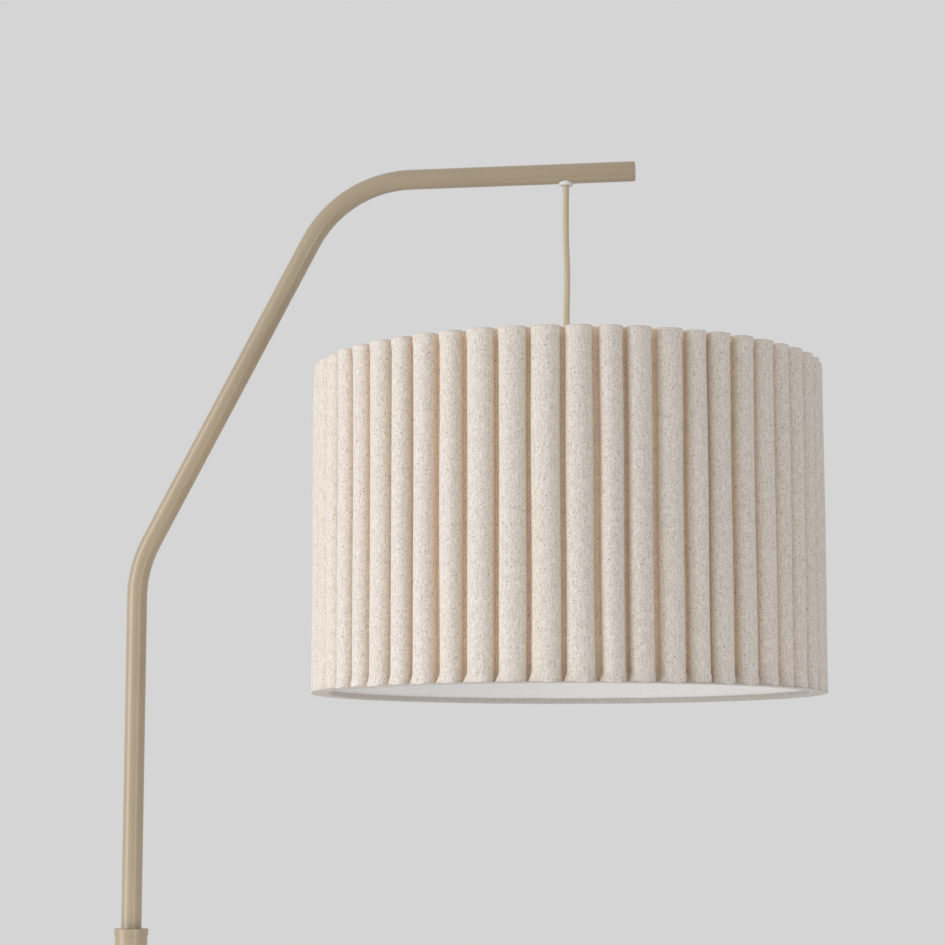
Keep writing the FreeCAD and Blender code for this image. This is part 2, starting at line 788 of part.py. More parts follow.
def spider_wires(radius):
    level = fitter_height + fitter_thickness / 2
    inner = ring_nut_radius + turning_gap
    outer = ring_radius - ring_wire_radius
    points = [Vector(outer, 0, top_ring_height), Vector(spider_step_outer, 0, top_ring_height),
              Vector(spider_step_inner, 0, level), Vector(inner, 0, level)]
    wires = []
    for index in range(spider_arm_count):
        wire = swept(route(points, [spider_bend_radius, spider_bend_radius]), radius)
        wire.rotate(Vector(0, 0, 0), UP, 180 + index * 360.0 / spider_arm_count)
        wire.translate(Vector(cord_reach, 0, 0))
        wires.append(wire)
    return wires


def shade_spider_arms():
    fitter = shade_fitter_ring()
    return Part.makeCompound([wire.cut(fitter) for wire in spider_wires(spider_wire_radius)])


def shade_lining():
    return ring(lining_radius, lining_radius - lining_thickness, lining_bottom, lining_top, cord_reach)


def shade_cover():
    bottom = shade_bottom + hem_thickness
    outside = flute_outline(shade_radius, flute_radius, valley_radius, bottom)
    inside = flute_outline(shade_radius - fabric_thickness, flute_radius - fabric_thickness,
                           valley_radius - fabric_thickness, bottom)
    rise = Vector(0, 0, shade_top - bottom)
    cover = Part.Face(outside).extrude(rise).cut(Part.Face(inside).extrude(rise))
    cover = cover.cut(disc(ring_edge, bottom, lining_bottom, cord_reach))
    return cover.cut(disc(ring_edge, lining_top, shade_top, cord_reach))


def shade_bottom_trim():
    flat = shade_bottom + hem_thickness
    hem_radius = shade_radius - hem_inset
    outline = [(trim_bore, shade_bottom), (hem_radius, shade_bottom), (hem_radius, flat),
               (leg_radius, flat), (leg_radius, shade_bottom + trim_leg_height),
               (trim_bore, shade_bottom + trim_leg_height)]
    return turned(outline, cord_reach)


def shade_top_trim():
    flat = shade_top - trim_thickness
    outline = [(trim_bore, shade_top), (trim_bore, shade_top - trim_leg_height),
               (leg_radius, shade_top - trim_leg_height), (leg_radius, flat),
               (ring_edge - trim_gap, flat), (ring_edge - trim_gap, shade_top)]
    trim = turned(outline, cord_reach)
    for wire in spider_wires(spider_wire_radius + trim_gap):
        trim = trim.cut(wire)
    return trim


# ---- The lamp ----
def lamp_nodes():
    return {
        "base_pad": base_pad(),
        "base_plate": base_plate(),
        "base_plate_screws": base_plate_screws(),
        "base_weight": base_weight(),
        "base_cover": base_cover(),
        "mains_gland": mains_gland(),
        "pole_stud": pole_stud(),
        "pole_stud_washer": pole_stud_washer(),
        "pole_stud_nut": pole_stud_nut(),
        "pole_bottom_insert": pole_bottom_insert(),
        "pole_foot_collar": foot_collar(),
        "lower_pole": lower_pole(),
        "pole_head_collar": head_collar(),
        "arm_guide_bush": guide_bush(),
        "guide_bush_screws": guide_screws(),
        "arm_thrust_washer": thrust_washer(),
        "pole_cord": pole_cord(),
        "arm_tube": arm_tube(),
        "arm_foot_plug": arm_foot_plug(),
        "swivel_stop_pin": stop_pin(),
        "arm_end_cap": arm_end_cap(),
        "cord_outlet_bush": cord_outlet_bush(),
        "arm_cord": arm_cord(),
        "cord_stopper_ball": cord_stopper(),
        "pendant_cord": pendant_cord(),
        "cord_grip": cord_grip(),
        "cord_grip_screw": cord_grip_screw(),
        "lampholder_cap": lampholder_cap(),
        "lampholder_skirt": lampholder_skirt(),
        "lampholder_core": lampholder_core(),
        "lampholder_screw_shell": lampholder_screw_shell(),
        "centre_contact": centre_contact(),
        "terminal_screws": terminal_screws(),
        "live_core_wire": core_wire(1),
        "neutral_core_wire": core_wire(-1),
        "shade_ring_nut": shade_ring_nut(),
        "bulb_tip_contact": bulb_tip_contact(),
        "bulb_insulator": bulb_insulator(),
        "bulb_screw_cap": bulb_screw_cap(),
        "bulb_neck": bulb_neck(),
        "bulb_globe": bulb_globe(),
        "bulb_board": bulb_board(),
        "shade_fitter_ring": shade_fitter_ring(),
        "shade_spider_arms": shade_spider_arms(),
        "shade_top_ring": wire_ring(top_ring_height),
        "shade_bottom_ring": wire_ring(bottom_ring_height),
        "shade_lining": shade_lining(),
        "shade_cover": shade_cover(),
        "shade_top_trim": shade_top_trim(),
        "shade_bottom_trim": shade_bottom_trim(),
    }


def main():
    os.makedirs("parts", exist_ok=True)
    for name, shape in lamp_nodes().items():
        sound = shape.isValid() and all(solid.Volume > 0 for solid in shape.Solids)
        print(f"{name:26s} solids {len(shape.Solids)} faces {len(shape.Faces):4d} "
              f"volume {shape.Volume / 1000:10.2f} cm3 valid {sound}")
        shape.exportStep(os.path.join("parts", name + ".step"))


main()
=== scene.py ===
"""Arched floor lamp with a fluted fabric shade: its finishes, its soft pieces and its studio.

Lengths are metres in the lamp's own frame: the origin is under the foot on the pole's axis,
+X points from the pole towards the shade and +Z is up.
"""

import json
import logging
import math
from dataclasses import dataclass
from enum import Enum
from typing import Dict, Optional, Sequence, Tuple, Union

import bpy
import numpy as np
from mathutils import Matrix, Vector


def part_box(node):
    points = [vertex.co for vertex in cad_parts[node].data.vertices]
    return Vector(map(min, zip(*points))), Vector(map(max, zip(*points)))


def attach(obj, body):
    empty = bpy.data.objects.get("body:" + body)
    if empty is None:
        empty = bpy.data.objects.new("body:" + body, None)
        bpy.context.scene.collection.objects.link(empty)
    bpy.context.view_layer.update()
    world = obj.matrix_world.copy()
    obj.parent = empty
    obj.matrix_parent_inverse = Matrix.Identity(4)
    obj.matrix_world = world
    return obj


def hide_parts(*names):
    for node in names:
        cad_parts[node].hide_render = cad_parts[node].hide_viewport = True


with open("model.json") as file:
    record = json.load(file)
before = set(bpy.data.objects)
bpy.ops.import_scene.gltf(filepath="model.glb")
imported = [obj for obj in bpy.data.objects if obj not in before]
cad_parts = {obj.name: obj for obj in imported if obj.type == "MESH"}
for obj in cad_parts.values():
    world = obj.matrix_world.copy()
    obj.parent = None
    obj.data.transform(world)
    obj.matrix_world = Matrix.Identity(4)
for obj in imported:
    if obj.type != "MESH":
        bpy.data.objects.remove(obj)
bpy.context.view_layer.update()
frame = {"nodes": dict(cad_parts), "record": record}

LOG = logging.getLogger("floor_lamp")

Colour = Tuple[float, float, float]
Point = Tuple[float, float, float]
Span = Tuple[float, float]

UNTINTED: Colour = (1.0, 1.0, 1.0)


def toned(colour: Colour, factor: float) -> Colour:
    """A colour with each of its parts multiplied."""
    return tuple(factor * part for part in colour)


def placed(name: str, data: bpy.types.ID) -> bpy.types.Object:
    """Puts a mesh, curve, light or camera into the scene, at the origin."""
    holder = bpy.data.objects.new(name, data)
    bpy.context.scene.collection.objects.link(holder)
    return holder


# ---- Shader arithmetic ----
class Value:
    """A shader socket that takes part in Python arithmetic."""

    def __init__(self, graph: "Graph", socket: bpy.types.NodeSocket) -> None:
        """Keeps the socket and the graph that it belongs to."""
        self.graph = graph
        self.socket = socket

    def math(self, operation: str, *others: "Input") -> "Value":
        """Puts one Math node after this socket.

        Args:
            operation: the Math node's operation.
            others: its second and third values.

        Returns:
            The node's result.
        """
        return self.graph.node("ShaderNodeMath", {"operation": operation}, dict(enumerate((self, *others))))

    def __add__(self, other: "Input") -> "Value":
        """Sum."""
        return self.math("ADD", other)

    def __radd__(self, other: float) -> "Value":
        """Sum, with the number first."""
        return self.math("ADD", other)

    def __sub__(self, other: "Input") -> "Value":
        """Difference."""
        return self.math("SUBTRACT", other)

    def __rsub__(self, other: float) -> "Value":
        """Difference, with the number first."""
        return self.graph.node("ShaderNodeMath", {"operation": "SUBTRACT"}, {0: other, 1: self})

    def __mul__(self, other: "Input") -> "Value":
        """Product."""
        return self.math("MULTIPLY", other)

    def __rmul__(self, other: float) -> "Value":
        """Product, with the number first."""
        return self.math("MULTIPLY", other)

    def __truediv__(self, other: "Input") -> "Value":
        """Quotient."""
        return self.math("DIVIDE", other)

    def step(self, low: float, high: float) -> "Value":
        """Smooth rise from 0 at low to 1 at high; low may be the larger number."""
        settings = {"interpolation_type": "SMOOTHSTEP"}
        places = {"Value": self, "From Min": low, "From Max": high}
        return self.graph.node("ShaderNodeMapRange", settings, places)


Input = Union[Value, float, Tuple[float, ...]]


class Graph:
    """The nodes of one material or world, written as Python expressions."""

    def __init__(self, tree: bpy.types.NodeTree) -> None:
        """Empties the tree and keeps it."""
        self.tree = tree
        tree.nodes.clear()

    def node(self, kind: str, settings: Optional[Dict[str, object]] = None,
             inputs: Optional[Dict[Union[int, str], Input]] = None,
             output: Union[int, str] = 0) -> Optional[Value]:
        """Adds one node.

        Args:
            kind: the node's type.
            settings: the node's properties, set first.
            inputs: a number, a tuple or a linked value for each named or numbered socket.
            output: the wanted output's name or number.

        Returns:
            The wanted output, or None where the node closes the tree.
        """
        made = self.tree.nodes.new(kind)
        for key, setting in (settings or {}).items():
            setattr(made, key, setting)
        for key, given in (inputs or {}).items():
            socket = made.inputs[key]
            if isinstance(given, Value):
                self.tree.links.new(given.socket, socket)
            else:
                socket.default_value = given
        return Value(self, made.outputs[output]) if made.outputs else None

    def coordinates(self, kind: str, scale: Point = (1.0, 1.0, 1.0),
                    centre: Point = (0.0, 0.0, 0.0)) -> Value:
        """Object or UV coordinates about a centre.

        Args:
            kind: Object or UV.
            scale: factor along each axis.
            centre: the point that becomes the origin.

        Returns:
            The vector.
        """
        place = self.node("ShaderNodeTexCoord", output=kind)
        moved = self.node("ShaderNodeVectorMath", {"operation": "SUBTRACT"}, {0: place, 1: centre})
        return self.node("ShaderNodeVectorMath", {"operation": "MULTIPLY"}, {0: moved, 1: scale})

    def noise(self, place: Value, scale: float, detail: float = 2.0, roughness: float = 0.5) -> Value:
        """Fractal noise from 0 to 1, with scale in waves a metre."""
        sockets = {"Vector": place, "Scale": scale, "Detail": detail, "Roughness": roughness}
        return self.node("ShaderNodeTexNoise", inputs=sockets)

    def blend(self, factor: Input, first: Input, second: Input, kind: str = "MIX") -> Value:
        """Mixes two colours.

        Args:
            factor: 0 gives the first colour, 1 the second.
            first: a colour or a link.
            second: a colour or a link.
            kind: the Mix node's blend type.

        Returns:
            The mixed colour.
        """
        colours = [one if isinstance(one, Value) else (*one, 1.0) for one in (first, second)]
        settings = {"data_type": "RGBA", "blend_type": kind, "clamp_factor": True}
        return self.node("ShaderNodeMix", settings, {0: factor, 6: colours[0], 7: colours[1]}, 2)

    def bump(self, height: Value, depth: float, strength: float = 1.0) -> Value:
        """Normal of a surface raised by height times depth metres."""
        return self.node("ShaderNodeBump", inputs={"Strength": strength, "Distance": depth, "Height": height})


def surfaced(material: bpy.types.Material, graph: Graph, sockets: Dict[str, Input]) -> bpy.types.Material:
    """Closes a material with its surface shader.

    Args:
        material: the material.
        graph: its graph, which holds the links.
        sockets: the surface shader's values and links.

    Returns:
        The material.
    """
    surface = graph.node("ShaderNodeBsdfPrincipled", inputs=sockets)
    graph.node("ShaderNodeOutputMaterial", inputs={"Surface": surface})
    return material


def new_graph(name: str) -> Tuple[bpy.types.Material, Graph]:
    """Starts a material and its graph."""
    material = bpy.data.materials.new(name)
    material.use_nodes = True
    return material, Graph(material.node_tree)


# ---- Finishes ----
@dataclass(frozen=True)
class SatinEnamel:
    """Baked enamel on tube and sheet: a faint orange peel under an even satin gloss."""

    colour: Colour = (0.430, 0.342, 0.232)
    roughness: float = 0.30
    peel_scale: float = 900.0
    peel_depth: float = 0.00003

    def material(self, name: str) -> bpy.types.Material:
        """Makes the finish."""
        material, graph = new_graph(name)
        place = graph.coordinates("Object")
        drift = graph.noise(place, 9.0, 3.0)
        peel = graph.noise(place, self.peel_scale, 1.0)
        speck = graph.noise(place, 2600.0, 0.0)
        base = graph.blend(drift.step(0.35, 0.7), self.colour, toned(self.colour, 0.93))
        base = graph.blend(speck.step(0.6, 0.8) * 0.25, base, toned(self.colour, 0.86))
        return surfaced(material, graph, {
            "Base Color": base,
            "Roughness": self.roughness + drift * 0.08,
            "Coat Weight": 0.25,
            "Coat Roughness": 0.16,
            "Normal": graph.bump(peel, self.peel_depth, 0.6),
        })


@dataclass(frozen=True)
class Flecks:
    """One kind of fleck: its mean distance, smallest and largest radius, the share of the places that
    hold one, how strongly it covers the cloth, and its colour."""

    cell: float
    size: Span
    share: float
    strength: float
    colour: Colour


@dataclass(frozen=True)
class FleckedWeave:
    """Oatmeal cloth: fine upright yarns, mottled fibres, and pale, brown and charcoal flecks. Where flank and
    valley tints are given, they paint warm bounce light and shade into the flutes by depth.

    The pattern reads the piece's own UV map, in metres along the cloth and up it.
    """

    colour: Colour = (0.895, 0.827, 0.765)
    mottle: Colour = (0.56, 0.505, 0.45)
    # Painted light: warm tints on the flutes' flanks and in their valleys stand in for bounce light and shade
    # there.
    flank_painted_bounce_tint: Colour = (1.01, 0.985, 0.945)
    valley_painted_shade_tint: Colour = (1.05, 0.97, 0.865)
    flecks: Tuple[Flecks, ...] = (
        Flecks(0.0019, (0.0003, 0.0006), 0.34, 0.34, (0.42, 0.34, 0.27)),
        Flecks(0.0037, (0.00035, 0.0008), 0.40, 0.50, (0.40, 0.25, 0.15)),
        Flecks(0.0120, (0.0003, 0.0007), 0.50, 0.70, (0.12, 0.10, 0.09)),
    )
    yarn_pitch: float = 0.0009
    axis_x: float = 0.434
    crest_radius: float = 0.250
    flute_depth: float = 0.0146

    def sunk(self, graph: Graph) -> Value:
        """How deep a place lies in its valley: 0 at a flute's crest and 1 at the lining; this places the
        painted shade and painted bounce light between the flutes.
        """
        place = graph.coordinates("Object", (1.0, 1.0, 0.0), (self.axis_x, 0.0, 0.0))
        out = graph.node("ShaderNodeVectorMath", {"operation": "LENGTH"}, {0: place}, "Value")
        return (self.crest_radius - out) / self.flute_depth

    @staticmethod
    def scattered(graph: Graph, place: Value, kind: Flecks) -> Value:
        """Irregular spots, from cells whose coordinates a fine noise bends.

        Args:
            graph: the material's graph.
            place: the cloth's coordinates in metres.
            kind: the flecks' distance, size and share.

        Returns:
            1 in the spots and 0 between them.
        """
        small, large = kind.size
        sockets = {"Vector": place, "Scale": 0.5 / small}
        stray = graph.node("ShaderNodeTexNoise", inputs=sockets, output="Color")
        shift = graph.node("ShaderNodeVectorMath", {"operation": "SUBTRACT"}, {0: stray, 1: (0.5, 0.5, 0.5)})
        shift = graph.node("ShaderNodeVectorMath", {"operation": "SCALE"}, {0: shift, "Scale": 1.4 * small})
        bent = graph.node("ShaderNodeVectorMath", {"operation": "ADD"}, {0: place, 1: shift})
        settings = {"voronoi_dimensions": "2D", "feature": "F1"}
        sockets = {"Vector": bent, "Scale": 1.0 / kind.cell, "Randomness": 1.0}
        near = graph.node("ShaderNodeTexVoronoi", settings, sockets, "Distance")
        tint = graph.node("ShaderNodeTexVoronoi", settings, sockets, "Color")
        red = graph.node("ShaderNodeSeparateColor", inputs={0: tint}, output=0)
        green = graph.node("ShaderNodeSeparateColor", inputs={0: tint}, output=1)
        radius = (small + green * (large - small)) / kind.cell
        inside = (near / radius).step(1.15, 0.75)
        return inside * red.math("LESS_THAN", kind.share)

    def material(self, name: str) -> bpy.types.Material:
        """Makes the finish."""
        material, graph = new_graph(name)
        place = graph.coordinates("UV")
        fineness = 0.6 / self.yarn_pitch
        yarn = graph.noise(graph.coordinates("UV", (1.0, 0.22, 1.0)), fineness, 2.0, 0.6)
        weft = graph.noise(graph.coordinates("UV", (0.25, 1.0, 1.0)), fineness, 2.0, 0.6)
        fibre = graph.noise(place, 2200.0, 2.0, 0.7)
        cloud = graph.noise(place, 60.0, 3.0)
        patch = graph.noise(graph.coordinates("UV", (1.0, 0.6, 1.0)), 620.0, 2.0, 0.65)
        slub = graph.noise(graph.coordinates("UV", (1.0, 0.3, 1.0)), 300.0, 2.0)
        base = graph.blend(yarn.step(0.35, 0.7) * 0.42, self.colour, self.mottle)
        base = graph.blend(slub.step(0.4, 0.7) * 0.28, base, self.mottle)
        base = graph.blend(patch.step(0.42, 0.72) * 0.48, base, self.mottle)
        base = graph.blend(fibre.step(0.5, 0.75) * 0.35, base, self.mottle)
        base = graph.blend(cloud.step(0.35, 0.7) * 0.08, base, self.mottle)
        for kind in self.flecks:
            base = graph.blend(self.scattered(graph, place, kind) * kind.strength, base, kind.colour)
        # Painted shade and painted bounce light: the flanks and valleys are multiplied by warmer tints the
        # deeper they lie between the flutes.
        depth = self.sunk(graph)
        for tint, reach in ((self.flank_painted_bounce_tint, (0.02, 0.35)), (self.valley_painted_shade_tint, (0.30, 0.90))):
            base = graph.blend(depth.step(*reach), base, graph.blend(1.0, base, tint, "MULTIPLY"))
        relief = yarn * 0.5 + weft * 0.35 + fibre * 0.5
        return surfaced(material, graph, {
            "Base Color": base,
            "Roughness": 0.93,
            "Specular IOR Level": 0.18,
            "Sheen Weight": 0.12,
            "Sheen Roughness": 0.6,
            "Normal": graph.bump(relief, 0.0006, 0.8),
        })


@dataclass(frozen=True)
class BraidedJacket:
    """Round textile jacket: two sets of yarns that wind opposite ways about an upright axis."""

    axis_x: float
    colour: Colour = (0.80, 0.68, 0.48)
    gap_colour: Colour = (0.50, 0.41, 0.27)
    yarns: int = 16
    lay: float = 0.014

    def material(self, name: str) -> bpy.types.Material:
        """Makes the finish.

        A yarn's phase is its angle about the axis plus or minus its height over the lay.
        """
        material, graph = new_graph(name)
        place = graph.coordinates("Object", centre=(self.axis_x, 0.0, 0.0))
        parts = [graph.node("ShaderNodeSeparateXYZ", inputs={0: place}, output=axis) for axis in range(3)]
        turn = parts[1].math("ARCTAN2", parts[0]) * (self.yarns / 2.0)
        climb = parts[2] * (math.pi * self.yarns / 2.0 / self.lay)
        left = (turn + climb).math("SINE")
        right = (turn - climb).math("SINE")
        over = left.math("MAXIMUM", right)
        fuzz = graph.noise(graph.coordinates("Object"), 2400.0, 2.0, 0.7)
        base = graph.blend(over.step(0.1, 0.8), self.gap_colour, self.colour)
        base = graph.blend(fuzz.step(0.4, 0.75) * 0.5, base, toned(self.colour, 0.75))
        return surfaced(material, graph, {
            "Base Color": base,
            "Roughness": 0.85,
            "Specular IOR Level": 0.25,
            "Sheen Weight": 0.15,
            "Normal": graph.bump(over * 0.8 + fuzz * 0.3, 0.0003, 0.9),
        })


class Grain(Enum):
    """Texture that a mould or a tool leaves."""

    SPARK = 1400.0
    MATT = 3200.0
    POLISHED = 250.0


@dataclass(frozen=True)
class Moulded:
    """Moulded plastic, rubber or glazed ceramic with the mould's grain."""

    colour: Colour
    roughness: float = 0.45
    grain: Grain = Grain.SPARK
    grain_depth: float = 0.00004
    glaze: float = 0.0

    def material(self, name: str) -> bpy.types.Material:
        """Makes the finish."""
        material, graph = new_graph(name)
        place = graph.coordinates("Object")
        grain = graph.noise(place, self.grain.value, 2.0)
        flow = graph.noise(place, 35.0, 2.0)
        base = graph.blend(flow.step(0.35, 0.7) * 0.6, self.colour, toned(self.colour, 0.92))
        return surfaced(material, graph, {
            "Base Color": base,
            "Roughness": self.roughness + grain * 0.1,
            "Coat Weight": self.glaze,
            "Normal": graph.bump(grain, self.grain_depth, 0.5),
        })


@dataclass(frozen=True)
class TurnedMetal:
    """Bare or plated metal with the fine rings that turning leaves about an upright axis."""

    colour: Colour
    roughness: float = 0.28
    ring_scale: float = 1800.0

    def material(self, name: str) -> bpy.types.Material:
        """Makes the finish."""
        material, graph = new_graph(name)
        rings = graph.noise(graph.coordinates("Object", (0.02, 0.02, 1.0)), self.ring_scale, 1.0)
        stain = graph.noise(graph.coordinates("Object"), 120.0, 3.0)
        return surfaced(material, graph, {
            "Base Color": graph.blend(stain.step(0.45, 0.75), self.colour, toned(self.colour, 0.82)),
            "Metallic": 1.0,
            "Roughness": self.roughness + stain * 0.14 + rings * 0.06,
            "Normal": graph.bump(rings, 0.00002, 0.5),
        })


@dataclass(frozen=True)
class SandCast:
    """Raw cast iron: a dark skin pitted by the sand."""

    colour: Colour = (0.055, 0.053, 0.052)

    def material(self, name: str) -> bpy.types.Material:
        """Makes the finish."""
        material, graph = new_graph(name)
        place = graph.coordinates("Object")
        sand = graph.noise(place, 420.0, 5.0, 0.7)
        rust = graph.noise(place, 26.0, 4.0)
        base = graph.blend(rust.step(0.55, 0.72) * 0.7, self.colour, (0.12, 0.065, 0.035))
        return surfaced(material, graph, {
            "Base Color": base,
            "Metallic": 0.4,
            "Roughness": 0.62 + sand * 0.2,
            "Normal": graph.bump(sand, 0.0005),
        })


@dataclass(frozen=True)
class CellFoam:
    """Closed-cell foam sheet: small round cells under a matt skin."""

    colour: Colour = (0.035, 0.035, 0.037)

    def material(self, name: str) -> bpy.types.Material:
        """Makes the finish."""
        material, graph = new_graph(name)
        sockets = {"Vector": graph.coordinates("Object"), "Scale": 1100.0}
        cell = graph.node("ShaderNodeTexVoronoi", inputs=sockets, output="Distance")
        base = graph.blend(cell.step(0.2, 0.6), self.colour, toned(self.colour, 2.0))
        return surfaced(material, graph, {
            "Base Color": base,
            "Roughness": 0.94,
            "Normal": graph.bump(cell, 0.0003),
        })


@dataclass(frozen=True)
class OpalGlass:
    """Bulb globe of opal glass: white, with a clear gloss over a soft inside."""

    colour: Colour = (0.86, 0.85, 0.82)

    def material(self, name: str) -> bpy.types.Material:
        """Makes the finish."""
        material, graph = new_graph(name)
        mist = graph.noise(graph.coordinates("Object"), 40.0, 2.0)
        base = graph.blend(mist.step(0.3, 0.8) * 0.4, self.colour, toned(self.colour, 0.94))
        return surfaced(material, graph, {
            "Base Color": base,
            "Roughness": 0.16 + mist * 0.06,
            "Coat Weight": 0.6,
            "Coat Roughness": 0.05,
        })


@dataclass(frozen=True)
class LinerFilm:
    """Smooth white plastic film of the shade's drum, with the faint haze of its rolling."""

    colour: Colour = (0.90, 0.885, 0.875)

    def material(self, name: str) -> bpy.types.Material:
        """Makes the finish."""
        material, graph = new_graph(name)
        haze = graph.noise(graph.coordinates("Object", (1.0, 1.0, 0.15)), 70.0, 2.0)
        grain = graph.noise(graph.coordinates("Object"), 1500.0, 1.0)
        base = graph.blend(haze.step(0.3, 0.75) * 0.5, self.colour, toned(self.colour, 0.965))
        return surfaced(material, graph, {
            "Base Color": base,
            "Roughness": 0.5 + grain * 0.12,
            "Normal": graph.bump(grain, 0.00003, 0.4),
        })


@dataclass(frozen=True)
class BoardLaminate:
    """Printed circuit board: white solder mask with copper lands under it."""

    colour: Colour = (0.66, 0.67, 0.65)

    def material(self, name: str) -> bpy.types.Material:
        """Makes the finish."""
        material, graph = new_graph(name)
        settings = {"feature": "F1", "distance": "CHEBYCHEV"}
        sockets = {"Vector": graph.coordinates("Object"), "Scale": 160.0}
        land = graph.node("ShaderNodeTexVoronoi", settings, sockets, "Distance").step(0.36, 0.30)
        return surfaced(material, graph, {
            "Base Color": graph.blend(land, self.colour, (0.62, 0.50, 0.30)),
            "Roughness": 0.42 - land * 0.12,
            "Normal": graph.bump(land, 0.00005, 0.5),
        })


# ---- Surfaces ----
def skin(name: str, points: np.ndarray, cloth: np.ndarray,
         material: bpy.types.Material) -> bpy.types.Object:
    """Closed surface over a grid that runs round in both directions.

    Each grid square becomes one four-sided face, the last row and column join the first, and the
    faces look outwards where a step along the columns crossed with a step along the rows does.

    Args:
        name: the piece.
        points: rows x columns x 3 places.
        cloth: (rows + 1) x (columns + 1) x 2 coordinates along the surface, in metres.
        material: the finish.

    Returns:
        The piece, at the origin.
    """
    rows, columns = points.shape[:2]
    row, column = np.meshgrid(np.arange(rows), np.arange(columns), indexing="ij")
    corners = ((row, column), (row, column + 1), (row + 1, column + 1), (row + 1, column))
    faces = np.stack([(r % rows) * columns + c % columns for r, c in corners], -1).reshape(-1, 4)
    mesh = bpy.data.meshes.new(name)
    mesh.from_pydata(points.reshape(-1, 3), [], faces)
    layer = mesh.uv_layers.new(name="cloth")
    flat = np.stack([cloth[r, c] for r, c in corners], 2).reshape(-1)
    layer.data.foreach_set("uv", flat.astype(np.float32))
    mesh.shade_smooth()
    mesh.materials.append(material)
    return placed(name, mesh)


def run_length(points: np.ndarray) -> np.ndarray:
    """Length along a closed line up to each point, and its whole length last."""
    steps = np.linalg.norm(np.roll(points, -1, axis=0) - points, axis=1)
    return np.concatenate(([0.0], np.cumsum(steps)))


def rounded_outline(corners: Sequence[Span], radii: Sequence[float], steps: int = 5) -> np.ndarray:
    """Closed outline whose corners are quarter-like bends.

    A bend at a corner is the quadratic curve from one point beside it to the other, each at the
    corner's radius from it.

    Args:
        corners: (radius, height) of each corner, in order.
        radii: distance from each corner at which its bend starts.
        steps: points in each bend.

    Returns:
        The outline's points.
    """
    places = np.array(corners, float)
    before = np.roll(places, 1, axis=0) - places
    after = np.roll(places, -1, axis=0) - places
    size = np.array(radii, float)[:, None]
    start = places + before / np.linalg.norm(before, axis=1, keepdims=True) * size
    end = places + after / np.linalg.norm(after, axis=1, keepdims=True) * size
    share = np.linspace(0.0, 1.0, steps)[None, :, None]
    bends = ((1 - share) ** 2 * start[:, None] + 2 * share * (1 - share) * places[:, None]
             + share ** 2 * end[:, None])
    return bends.reshape(-1, 2)


